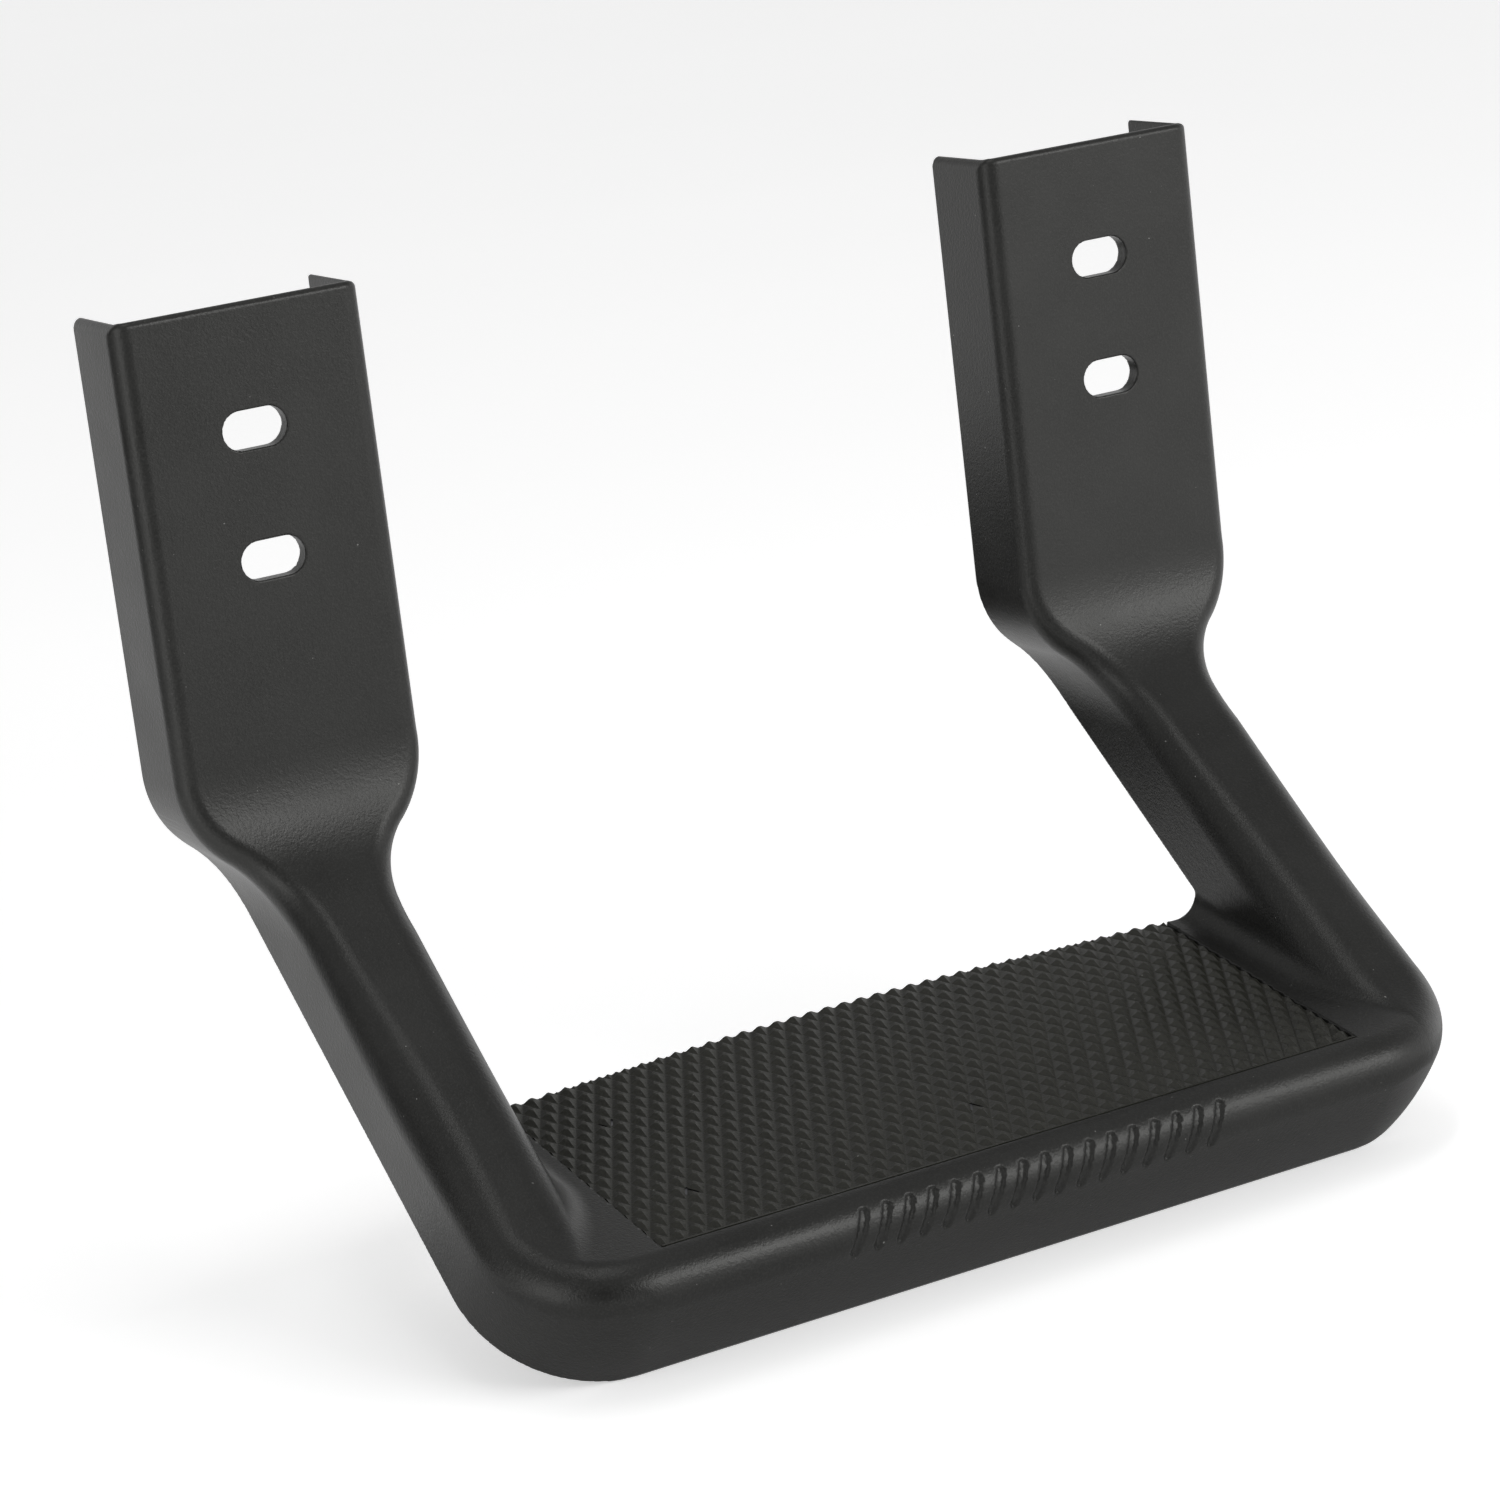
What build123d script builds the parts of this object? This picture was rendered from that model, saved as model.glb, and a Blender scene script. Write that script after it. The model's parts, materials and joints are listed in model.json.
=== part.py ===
from build123d import *
import os
from math import cos, radians, sin, sqrt, tan

# Bolt-on truck step: one hollow die casting with two upright mounting channels,
# two legs that lean forward, and a front rail that carries the deck. A knurled
# tread plate lies in a recess of the deck and is screwed on from below.
# Frame: X across, -Y towards the person who steps up, +Z up. The origin is the
# middle of the four slots, on the face that seats against the vehicle bracket.

# Driving dimensions, millimetres and degrees
WALL = 3.2                  # casting wall
PLATE_WIDTH = 77.4          # one mounting channel, outside
SIDE_CENTRE = 144.8         # middle of a channel and its leg, from mid-width
PLATE_TOP = 55.6
CHANNEL_BACK = 28.8         # back edge of the channel flanges
EDGE_RADIUS = 8.0           # along the front edges of channels and legs
FLANGE_CORNER_RADIUS = 6.0

SLOT_SPACING = 38.1         # between the two slots of one channel
SLOT_LENGTH = 20.0
SLOT_WIDTH = 11.6

LEAN = 52.0                 # legs, from vertical
LEG_WIDTH = 33.2
LEG_DEPTH = 32.4
LEG_START_Y = -10.9         # a point on the back edge line of the legs
LEG_START_Z = -148.1
LEG_LENGTH = 151.1          # from that point to the bottom of the rail
LEG_JOIN = 20.0             # from that point to where bend and straight leg meet
ROUNDING_LENGTH = 80.0      # over which the legs' inner edges lose their rounding
ROUNDING_OFFSET = 0.2       # its axis stands this far out already at the start
FRONT_BEND_RADIUS = 50.0
BACK_BEND_RADIUS = 44.0
SHOULDER_TOP = -80.4        # each channel narrows to its leg between these
SHOULDER_BOTTOM = -129.4

CORNER_RADIUS = 39.4        # outside corner of the rail, seen square on
TREAD_TILT = 9.2            # deck, rising to the back
TREAD_FRONT_Y = -144.7      # front line of the knurled tread
TREAD_FRONT_Z = -200.1
TREAD_HALF_WIDTH = 117.1
BLEND_RADIUS = 30.0         # hollow bend from the legs' upper faces to the deck
DECK_BACK_Y = -40.7         # back edge at mid-width
DECK_BACK_BOW = 5.8         # how far the tread's corners lie forward of that
DECK_LIP = 12.0             # depth of the lip below the back edge
RIB_THICKNESS = 3.0
RIB_PLACES = (-62.0, -31.0, 31.0, 62.0)
RIB_SETBACK = 3.0           # ribs stay above the rim of the casting
RIB_ROOT = 0.4              # how far a rib reaches into the walls

TREAD_THICKNESS = 3.0
TREAD_GAP = 0.3
BOSS_RADIUS = 5.0
BOSS_LENGTH = 3.0
BOSS_HOLE_RADIUS = 5.3
SCREW_SPACING = 94.0
SCREW_ROWS = (26.0, 76.0)   # behind the front line, along the deck
SCREW_RADIUS = 2.45
THREAD_HOLE_RADIUS = 2.5
THREAD_DEPTH = 5.0
SCREW_REACH = 4.6           # into the tread, from the end of its boss
SCREW_HEAD_RADIUS = 4.6
SCREW_HEAD_HEIGHT = 2.8
SCREW_SOCKET = 3.0          # across flats
SCREW_SOCKET_DEPTH = 1.6
WASHER_RADIUS = 7.5
WASHER_THICKNESS = 1.2

BEYOND = 60.0               # how far a cutting shape runs past the part
SIDES = (-1, 1)

lean = radians(LEAN)
tilt = radians(TREAD_TILT)
HALF_WIDTH = SIDE_CENTRE + LEG_WIDTH / 2
LEG_GAP_HALF = SIDE_CENTRE - LEG_WIDTH / 2
PANEL_UNDERSIDE = TREAD_THICKNESS + WALL

# The plane of the legs: local x across, local y up the legs, local z out of
# their upper faces. The deck plane lies along the tread, local y to the back.
leg_plane = Plane(
    origin=(0, LEG_START_Y, LEG_START_Z),
    x_dir=(1, 0, 0),
    z_dir=(0, -cos(lean), sin(lean)),
)
deck_plane = Plane(
    origin=(0, TREAD_FRONT_Y, TREAD_FRONT_Z),
    x_dir=(1, 0, 0),
    z_dir=(0, -sin(tilt), cos(tilt)),
)
BACKWARD = (Align.CENTER, Align.CENTER, Align.MAX)
FORWARD = (Align.CENTER, Align.CENTER, Align.MIN)


def leg_point(along, out):
    """Side-view point (y, z), along the legs and out from their back edge line."""
    y = LEG_START_Y - along * sin(lean) - out * cos(lean)
    z = LEG_START_Z - along * cos(lean) + out * sin(lean)
    return y, z


def deck_z(y, below):
    """Height at y of the plane that lies this far below the deck."""
    return TREAD_FRONT_Z + (y - TREAD_FRONT_Y) * tan(tilt) - below / cos(tilt)


def across(outline, half_width):
    """A closed side-view outline, made solid over a width about mid-width."""
    return extrude(Plane.YZ * make_face(outline), half_width, both=True)


# --- Channels, down to the straight legs --------------------------------------

def channel_profile(inset, past_back):
    """Side view of a channel that bends forward into its leg."""
    front_y = inset - WALL
    front_out = LEG_DEPTH - inset
    back_y = CHANNEL_BACK + past_back
    front_along = (leg_point(0, front_out)[0] - front_y) / sin(lean)
    back_along = (leg_point(0, -past_back)[0] - back_y) / sin(lean)
    top = PLATE_TOP + past_back
    front = FilletPolyline(
        (front_y, top),
        leg_point(front_along, front_out),
        leg_point(LEG_JOIN, front_out),
        radius=FRONT_BEND_RADIUS - inset,
    )
    back = FilletPolyline(
        leg_point(LEG_JOIN, -past_back),
        leg_point(back_along, -past_back),
        (back_y, top),
        radius=BACK_BEND_RADIUS + past_back,
    )
    return [front, Line(front @ 1, back @ 0), back, Line(back @ 1, front @ 0)]


def shoulder_outline(inset, past_top):
    """Front view of a channel that narrows to its leg through two tangent arcs."""
    wide = PLATE_WIDTH / 2 - inset
    narrow = LEG_WIDTH / 2 - inset
    top = PLATE_TOP + past_top
    low = LEG_START_Z - BEYOND
    middle = ((wide + narrow) / 2, (SHOULDER_TOP + SHOULDER_BOTTOM) / 2)
    outline = [Line((-wide, top), (wide, top)), Line((-narrow, low), (narrow, low))]
    for side in SIDES:
        join = (side * middle[0], middle[1])
        outline += [
            Line((side * wide, top), (side * wide, SHOULDER_TOP)),
            TangentArc((side * wide, SHOULDER_TOP), join, tangent=(0, -1)),
            TangentArc((side * narrow, SHOULDER_BOTTOM), join, tangent=(0, 1)),
            Line((side * narrow, SHOULDER_BOTTOM), (side * narrow, low)),
        ]
    return make_face(outline)


def channel_block(inset, past_back):
    """One channel and its bend into the leg, filled, about X = 0."""
    body = across(channel_profile(inset, past_back), PLATE_WIDTH)
    front_view = Plane.XZ * shoulder_outline(inset, past_back)
    return body & extrude(front_view, 4 * BEYOND, both=True)


def rounded_channel(inset, past_back):
    """The channel block with the long edges of its front face rounded."""
    block = channel_block(inset, past_back)
    upright = block.edges().filter_by(Axis.Z)
    front = upright.filter_by_position(Axis.Y, inset - WALL - 1, inset - WALL + 1)
    return fillet(front, EDGE_RADIUS - inset)


def channel_skin():
    """One filled channel with the back corners of its flanges rounded too."""
    block = rounded_channel(0, 0)
    back = block.edges().filter_by(Axis.X).filter_by_position(Axis.Y, CHANNEL_BACK - 1, CHANNEL_BACK + 1)
    return fillet(back.sort_by(Axis.Z)[-1], FLANGE_CORNER_RADIUS)


def both_sides(channel):
    """A channel shape at its place on both sides."""
    return [Pos(side * SIDE_CENTRE, 0, 0) * channel for side in SIDES]


# --- Lower legs, rail and deck -------------------------------------------------

def rail_outline(inset, start):
    """Outside of legs and rail from a start line, seen square to the plane of the legs."""
    half = HALF_WIDTH - inset
    bottom = inset - LEG_LENGTH
    corners = FilletPolyline(
        (-half, -start), (-half, bottom), (half, bottom), (half, -start), radius=CORNER_RADIUS - inset
    )
    return make_face([corners, Line(corners @ 1, corners @ 0)])


def top_profile(inset, below):
    """Side view of everything under the legs' upper faces or the deck, blended."""
    out = LEG_DEPTH - inset
    start = leg_point(LEG_JOIN - BEYOND, out)
    foot = leg_point(0, out)
    rise = deck_z(foot[0], below) - foot[1]
    along = rise / (sin(lean) * tan(tilt) - cos(lean))
    far = LEG_START_Y - LEG_LENGTH - BEYOND
    top = FilletPolyline(start, leg_point(along, out), (far, deck_z(far, below)), radius=BLEND_RADIUS)
    low = leg_point(LEG_LENGTH, -BEYOND)
    return [top, Polyline(top @ 1, (far, low[1]), (start[0], low[1]), start)]


def lower_block(inset, past_back, below):
    """Legs, rail and deck in front of the plane of the legs' back edges, filled."""
    outline = leg_plane.offset(-past_back) * rail_outline(inset, LEG_JOIN)
    block = extrude(outline, past_back + 2 * BEYOND)
    block &= across(top_profile(inset, below), 2 * HALF_WIDTH)
    return block - foot_space(inset, below)


def foot_space(inset, below):
    """The open space between the legs, above the deck."""
    space = Box(2 * (LEG_GAP_HALF + inset), 2 * LEG_LENGTH, 2 * LEG_LENGTH, align=FORWARD)
    return deck_plane * Pos(0, LEG_LENGTH, -below) * space


def rounded_lower(inset, past_back, below):
    """The lower block with the outer edges of its top rounded, and the inner ones of the legs."""
    block = lower_block(inset, past_back, below)
    top = [e for e in block.edges() if on_outer_top(e)]
    block = fillet(top, EDGE_RADIUS - inset)
    for side in SIDES:
        block -= inner_rounding(side, inset)
    return block


def inner_rounding(side, inset):
    """What the rounding of a leg's inner upper edge takes off. It fades out down the leg."""
    radius = EDGE_RADIUS - inset
    axis_x = side * (LEG_GAP_HALF + EDGE_RADIUS)
    axis_z = LEG_DEPTH - EDGE_RADIUS
    fade = EDGE_RADIUS * (1 - sqrt(0.5))
    start = Vector(axis_x - side * ROUNDING_OFFSET, -LEG_JOIN, axis_z + ROUNDING_OFFSET)
    end = Vector(axis_x - side * fade, -LEG_JOIN - ROUNDING_LENGTH, axis_z + fade)
    rounding = Plane(origin=start, z_dir=end - start) * Cylinder(radius, 3 * ROUNDING_LENGTH)
    corner = Pos(axis_x - side * radius, -LEG_JOIN - ROUNDING_LENGTH / 2, axis_z + radius) * Box(
        2 * radius, ROUNDING_LENGTH, 2 * radius
    )
    return leg_plane * (corner - rounding)


def on_outer_top(edge):
    """Whether an edge runs along the outside of the legs and rail at the top."""
    across_out = leg_plane.to_local_coords(edge.center())
    outside = abs(across_out.X) > SIDE_CENTRE or across_out.Y < CORNER_RADIUS / 2 - LEG_LENGTH
    return outside and across_out.Z > LEG_DEPTH / 2 and across_out.Y < -LEG_JOIN - 1


def deck_profile(below, back, raise_bottom, drop):
    """Side view of deck and rail: deck plane, far front, underside and lip."""
    far = LEG_START_Y - LEG_LENGTH - BEYOND
    rail_y, rail_z = leg_point(LEG_LENGTH, 0)
    lip_z = deck_z(DECK_BACK_Y, DECK_LIP)
    lift = raise_bottom - drop
    return Polyline(
        (back, deck_z(back, below)),
        (far, deck_z(far, below)),
        (far, rail_z + lift),
        (rail_y, rail_z + lift),
        (back, lip_z + lift),
        close=True,
    )


def bowed_front(back):
    """Everything in front of the bowed back edge of the deck."""
    end = back - DECK_BACK_BOW * (HALF_WIDTH / TREAD_HALF_WIDTH) ** 2
    front = back - 2 * LEG_LENGTH
    edge = ThreePointArc((-HALF_WIDTH, end), (0, back), (HALF_WIDTH, end))
    rest = Polyline((HALF_WIDTH, end), (HALF_WIDTH, front), (-HALF_WIDTH, front), (-HALF_WIDTH, end))
    return extrude(make_face([edge, rest]), 6 * BEYOND, both=True)


def deck_block(half_width, below=0.0, inset=0.0, raise_bottom=0.0, drop=0.0):
    """Deck and rail under the tread plane, between the rail's skin and the back edge."""
    block = across(deck_profile(below, DECK_BACK_Y, raise_bottom, drop), half_width)
    skin = extrude(leg_plane * rail_outline(inset, 0), 2 * BEYOND, both=True)
    return block & skin & bowed_front(DECK_BACK_Y - inset)


def behind_legs(clearance):
    """Half space behind the legs' back edges, or this far in front of them."""
    slab = Box(3 * HALF_WIDTH, 6 * LEG_LENGTH, 4 * BEYOND, align=BACKWARD)
    return leg_plane * Pos(0, 0, clearance) * slab


# --- The casting -----------------------------------------------------------------

def casting_skin():
    """Outside of the casting, filled."""
    skin = rounded_lower(0, 0, 0) + (deck_block(LEG_GAP_HALF + WALL) & behind_legs(0))
    for channel in both_sides(channel_skin()):
        skin += channel
    return skin


def inner_webs():
    """Slabs where the inner walls of the legs run down past the deck."""
    length = LEG_LENGTH - CORNER_RADIUS / 2
    web = Box(WALL, 2 * length, 4 * BEYOND)
    return [leg_plane * Pos(side * (LEG_GAP_HALF + WALL / 2), 0, 0) * web for side in SIDES]


def lower_cavity():
    """Hollow of the legs, rail and deck, open at the back and underneath."""
    hollow = rounded_lower(WALL, BEYOND / 4, PANEL_UNDERSIDE)
    between = Box(2 * (LEG_GAP_HALF + WALL), 6 * LEG_LENGTH, 4 * BEYOND, align=BACKWARD)
    hollow -= leg_plane * between
    for web in inner_webs():
        hollow -= web
    return hollow


def deck_cavity():
    """Hollow of the part of the deck that lies behind the legs' back edges."""
    hollow = deck_block(LEG_GAP_HALF, PANEL_UNDERSIDE, WALL, drop=BEYOND)
    return hollow & behind_legs(RIB_SETBACK)


def deck_ribs():
    """Ribs across the hollow below the deck, rooted in its walls and panel."""
    space = deck_block(LEG_GAP_HALF, PANEL_UNDERSIDE - RIB_ROOT, WALL - RIB_ROOT, RIB_SETBACK)
    return [Pos(x, 0, 0) * Box(RIB_THICKNESS, 8 * BEYOND, 12 * BEYOND) & space for x in RIB_PLACES]


def slots():
    """The four mounting slots, as cutting shapes."""
    slot = extrude(Plane.XZ * SlotOverall(SLOT_LENGTH, SLOT_WIDTH), CHANNEL_BACK, both=True)
    return [
        Pos(side * SIDE_CENTRE, 0, row * SLOT_SPACING / 2) * slot
        for side in SIDES
        for row in SIDES
    ]


def screw_places():
    """The six screw axes, in the deck plane."""
    return [(column * SCREW_SPACING, row) for column in (-1, 0, 1) for row in SCREW_ROWS]


def at_screws(shape):
    """Copies of a shape at the screw axes. Its z = 0 is the tread surface."""
    return [deck_plane * Pos(x, y, 0) * shape for x, y in screw_places()]


def tread_block(margin):
    """The tread between its sides and front line, running past the back edge."""
    length = 4 * BEYOND
    block = Box(
        2 * (TREAD_HALF_WIDTH - margin),
        length,
        TREAD_THICKNESS,
        align=(Align.CENTER, Align.MIN, Align.MAX),
    )
    return deck_plane * Pos(0, margin, 0) * block


def step_frame():
    """The hollow casting."""
    casting = casting_skin()
    cavities = both_sides(rounded_channel(WALL, BEYOND / 4))
    cavities += [lower_cavity(), deck_cavity()]
    for cavity in cavities:
        casting -= cavity
    for rib in deck_ribs():
        casting += rib
    casting -= tread_block(0)
    hole = Cylinder(BOSS_HOLE_RADIUS, 2 * (PANEL_UNDERSIDE + WALL))
    for cut in slots() + at_screws(hole):
        casting -= cut
    return casting


# --- The tread plate and its screws ----------------------------------------------

def tread_plate():
    """The tread with threaded bosses that reach down through the deck."""
    plate = tread_block(TREAD_GAP) & bowed_front(DECK_BACK_Y)
    boss_end = TREAD_THICKNESS + BOSS_LENGTH
    boss = Pos(0, 0, -boss_end) * Cylinder(BOSS_RADIUS, BOSS_LENGTH + 1, align=FORWARD)
    thread = Pos(0, 0, -boss_end) * Cylinder(THREAD_HOLE_RADIUS, THREAD_DEPTH, align=FORWARD)
    for shape in at_screws(boss):
        plate += shape
    for shape in at_screws(thread):
        plate -= shape
    return plate


def tread_screw():
    """One socket head screw, head below the deck."""
    seat = PANEL_UNDERSIDE + WASHER_THICKNESS
    length = seat - (TREAD_THICKNESS + BOSS_LENGTH) + SCREW_REACH
    shank = Cylinder(SCREW_RADIUS, length, align=FORWARD)
    head = Cylinder(SCREW_HEAD_RADIUS, SCREW_HEAD_HEIGHT, align=BACKWARD)
    socket = extrude(RegularPolygon(SCREW_SOCKET / 2, 6, major_radius=False), SCREW_SOCKET_DEPTH)
    screw = shank + head - Pos(0, 0, -SCREW_HEAD_HEIGHT) * socket
    return Pos(0, 0, -seat) * screw


def tread_washer():
    """One flat washer between a screw head and the underside of the deck."""
    disc = Cylinder(WASHER_RADIUS, WASHER_THICKNESS, align=BACKWARD)
    hole = Cylinder(THREAD_HOLE_RADIUS, 3 * WASHER_THICKNESS)
    return Pos(0, 0, -PANEL_UNDERSIDE) * (disc - hole)


def save(shape, name):
    """Write one node, whose name is the file name."""
    shape.label = name
    export_step(shape, f"parts/{name}.step")


os.makedirs("parts", exist_ok=True)
save(step_frame(), "step_frame")
save(tread_plate(), "tread_plate")
save(Compound(at_screws(tread_screw())), "tread_screws")
save(Compound(at_screws(tread_washer())), "tread_washers")
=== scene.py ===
"""Looks of the bolt-on vehicle step: casting, knurled tread, screws and washers around the CAD frame."""
import bpy
import bmesh
import json
import math
import numpy as np
from mathutils import Matrix, Quaternion, Vector


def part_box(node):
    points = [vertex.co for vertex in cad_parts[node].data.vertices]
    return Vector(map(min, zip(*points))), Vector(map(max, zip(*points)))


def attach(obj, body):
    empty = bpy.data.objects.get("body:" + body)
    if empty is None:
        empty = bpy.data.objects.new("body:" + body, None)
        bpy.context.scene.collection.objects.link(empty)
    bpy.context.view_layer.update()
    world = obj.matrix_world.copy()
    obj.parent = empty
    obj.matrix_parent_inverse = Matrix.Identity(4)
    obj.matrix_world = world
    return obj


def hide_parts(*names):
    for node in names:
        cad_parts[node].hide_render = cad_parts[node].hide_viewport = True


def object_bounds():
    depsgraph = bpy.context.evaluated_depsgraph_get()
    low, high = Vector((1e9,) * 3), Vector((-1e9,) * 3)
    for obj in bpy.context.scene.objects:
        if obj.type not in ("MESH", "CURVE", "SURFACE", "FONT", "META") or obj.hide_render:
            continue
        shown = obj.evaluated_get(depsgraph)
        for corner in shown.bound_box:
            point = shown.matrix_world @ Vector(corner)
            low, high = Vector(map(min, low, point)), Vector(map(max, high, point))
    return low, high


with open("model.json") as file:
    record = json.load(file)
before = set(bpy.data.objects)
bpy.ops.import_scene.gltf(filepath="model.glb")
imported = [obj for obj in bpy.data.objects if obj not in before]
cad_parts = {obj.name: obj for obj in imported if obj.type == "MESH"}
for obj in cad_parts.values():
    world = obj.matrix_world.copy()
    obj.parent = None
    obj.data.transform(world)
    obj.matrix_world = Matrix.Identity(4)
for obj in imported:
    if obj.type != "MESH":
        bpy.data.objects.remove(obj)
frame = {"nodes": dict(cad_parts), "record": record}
cad_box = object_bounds()

# Shapes are worked out in millimetres and turned into metres when a mesh is made.
MM = 0.001


def in_mm(corner):
    """A corner of a box in millimetres."""
    return np.array(corner) / MM


mounts = {mount["name"]: mount for mount in frame["record"]["mounts"]}
slot_dims = mounts["mounting_slots"]["dims"]
frame_low, frame_high = map(in_mm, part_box("step_frame"))
tread_high = in_mm(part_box("tread_plate")[1])

# Channels and legs
SIDE_CENTRE = slot_dims["spacing_x_mm"] / 2
PLATE_HALF = frame_high[0] - SIDE_CENTRE
PLATE_TOP = frame_high[2]
CHANNEL_BACK = frame_high[1]
WALL = 3.2
LEG_HALF = 16.6
LEAN = math.radians(52.0)
TAPER = math.radians(1.2)           # the legs deepen a little towards the rail
LEG_START = (-10.9, -148.1)         # (y, z) of the upper end of the legs' back edge line
LEG_DEPTH = 32.6
LEG_LENGTH = 151.1
SHOULDER_TOP = -80.4
SHOULDER_BOTTOM = -129.4
FRONT_BEND = 50.0
BACK_BEND = 44.0
PLATE_EDGE = 5.8                    # rounding of the front edges, at the channels
LEG_EDGE = 13.5                     # and at the legs
TOP_CORNER = 1.8
TOP_EDGE = 1.8                      # rounding of the outer edge at the channels' top
TOP_SIDE = 3.6                      # rounding of its corners, seen from the front
RIM = 0.9                           # rounding of the casting's rims
SLOT_RIM = 0.5
LAND_MARGIN = 4.0                   # width of the raised lands around the slots, at the back
LAND_HEIGHT = 2.0
LEAST_EDGE = 1.0                    # least rounding inside the hollow
EDGE_GROWTH = (80.0, 185.0)         # the front edges' rounding grows between these depths
NOSE_START = (165.0, 205.0)         # and turns into the nose's rounding between these

# Rail and deck
CORNER = 39.4
NOSE = 10.5
FACE_CHORD = 46.0                   # height over which the rail's front wall bows outwards
FACE_BOW = 2.6
TREAD_TILT = math.radians(9.2)
TREAD_FRONT = (-144.7, -200.1)      # (y, z) of the tread's front line
DECK_BACK = -40.7
DECK_BOW = 5.8
DECK_LIP = 12.0
LEG_ROOT = 8.0                      # hollow between a leg's inner wall and the deck
LEG_FOOT = 60.0                     # hollow between a leg's upper face and the deck
PANEL = 3.0
RIB_PLACES = (31.0, 62.0)
RIB_HALF = 1.5
RIB_SETBACK = 3.0
TREAD_GAP = 0.3
TREAD_HALF = tread_high[0] + TREAD_GAP
SCREW_SPACING = 94.0
SCREW_ROWS = (26.0, 76.0)
BOSS_HOLE = 5.3
BOSS_RADIUS = 5.0
BOSS_LENGTH = 3.0
BOSS_ROOT = 0.5                     # how far a boss is sunk into the tread, to join it
THREAD_RADIUS = 2.5
THREAD_DEPTH = 5.0
BORDER = 1.0                        # back edge of the tread's plain front border
BLOCK_LENGTH = 130.0                # of the knurled block that the tread is cut from
BACK_POINTS = 41                    # of the outline, along the bowed back edge
CIRCLE_POINTS = 48

# Grip grooves in the nose
GRIP_PITCH = 7.5
GRIP_LAST = 8
GRIP_SLANT = math.radians(24.0)
GRIP_HALF = 5.2
GRIP_FLOOR = 0.5
GRIP_EDGE = 1.9
GRIP_DEPTH = 0.85
GRIP_HEIGHT = -251.0                # of the grooves' middle, along rail_up
RAIL_UP = (0.365, 0.931)            # (y, z) of the direction up the nose

# Knurl
KNURL_PITCH = 5.9                   # across
KNURL_LENGTH = 11.1                 # along the deck
KNURL_HEIGHT = 1.1
KNURL_RINGS = ((1.0, 0.0), (0.86, 0.10), (0.34, 0.86), (0.20, 0.98))    # (size, rise), from the base up

# Meshing of the casting
GRID = 0.9   # spacing of the samples
BLOCK = 8                           # samples along a block
CHUNK = 400_000                     # points worked out at once
BLOCK_REACH = 2                     # cells beyond a block that its centre's distance has to cover
REACH_SLACK = 1.15
MARGIN_CELLS = 3
MOST_FACES = 190_000
SETTLING_STEPS = 3
LEAST_STEEPNESS = 0.5

# Fillets
MOST_PARALLEL = 0.98                # cosines between two surfaces are held to this
FACING = -0.95                      # surfaces that face each other get no fillet
TINY = 1e-6

leg_down = np.array([0, -math.sin(LEAN), -math.cos(LEAN)])
leg_out = np.array([0, -math.cos(LEAN), math.sin(LEAN)])
deck_up = np.array([0, -math.sin(TREAD_TILT), math.cos(TREAD_TILT)])
deck_back = np.array([0, math.cos(TREAD_TILT), math.sin(TREAD_TILT)])
rail_up = np.array([0, *RAIL_UP])
leg_start = np.array([0, *LEG_START])
tread_front = np.array([0, *TREAD_FRONT])
leg_gap_half = SIDE_CENTRE - LEG_HALF
half_width = SIDE_CENTRE + LEG_HALF


# --- Signed distances ---------------------------------------------------------
# A field is an array with four rows: the distance from a surface, negative inside,
# and the three components of its gradient.

def field(distance, gradient):
    """A field from its distance and the components of its gradient."""
    return np.stack([distance] + [np.broadcast_to(g, distance.shape) for g in gradient])


def plane(p, point, normal):
    """The half space behind a plane."""
    normal = np.asarray(normal, float)
    normal = normal / np.linalg.norm(normal)
    return field(normal @ (p - np.reshape(point, (3, 1))), normal)


def grown(a, margin):
    """A solid grown by a margin, or shrunk by a negative one."""
    return np.concatenate([a[:1] - margin, a[1:]])


def union(a, b, radius):
    """Two solids joined, with a hollow fillet of this radius between them."""
    k = np.clip((a[1:] * b[1:]).sum(0), -MOST_PARALLEL, MOST_PARALLEL)
    from_a = a[0] - radius
    from_b = b[0] - radius
    along_a = (from_a - k * from_b) / (1 - k * k)
    along_b = (from_b - k * from_a) / (1 - k * k)
    reach = along_a * a[1:] + along_b * b[1:]
    length = np.maximum(np.sqrt((reach * reach).sum(0)), TINY)
    filleted = np.concatenate([(radius - length)[None], -reach / length])
    meets = (along_a < 0) & (along_b < 0) & (k > FACING)
    return np.where(meets, filleted, np.where(a[0] < b[0], a, b))


def common(a, b, radius):
    """What two solids share, with its edge rounded to this radius."""
    return -union(-a, -b, radius)


def overlap(a, b):
    """What two solids share, with a sharp edge."""
    return np.where(a[0] > b[0], a, b)


def outside(a):
    """Everything that a solid leaves free."""
    return -a


def slab(p, centre, half):
    """A slab across X, the same on both sides of mid-width."""
    off = np.abs(p[0]) - centre
    return field(np.abs(off) - half, (np.sign(off) * np.sign(p[0]), 0, 0))


def smooth(value, low, high):
    """0 below low, 1 above high, and an S-curve between."""
    t = np.clip((value - low) / (high - low), 0, 1)
    return t * t * (3 - 2 * t)


# --- The casting ----------------------------------------------------------------

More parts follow.
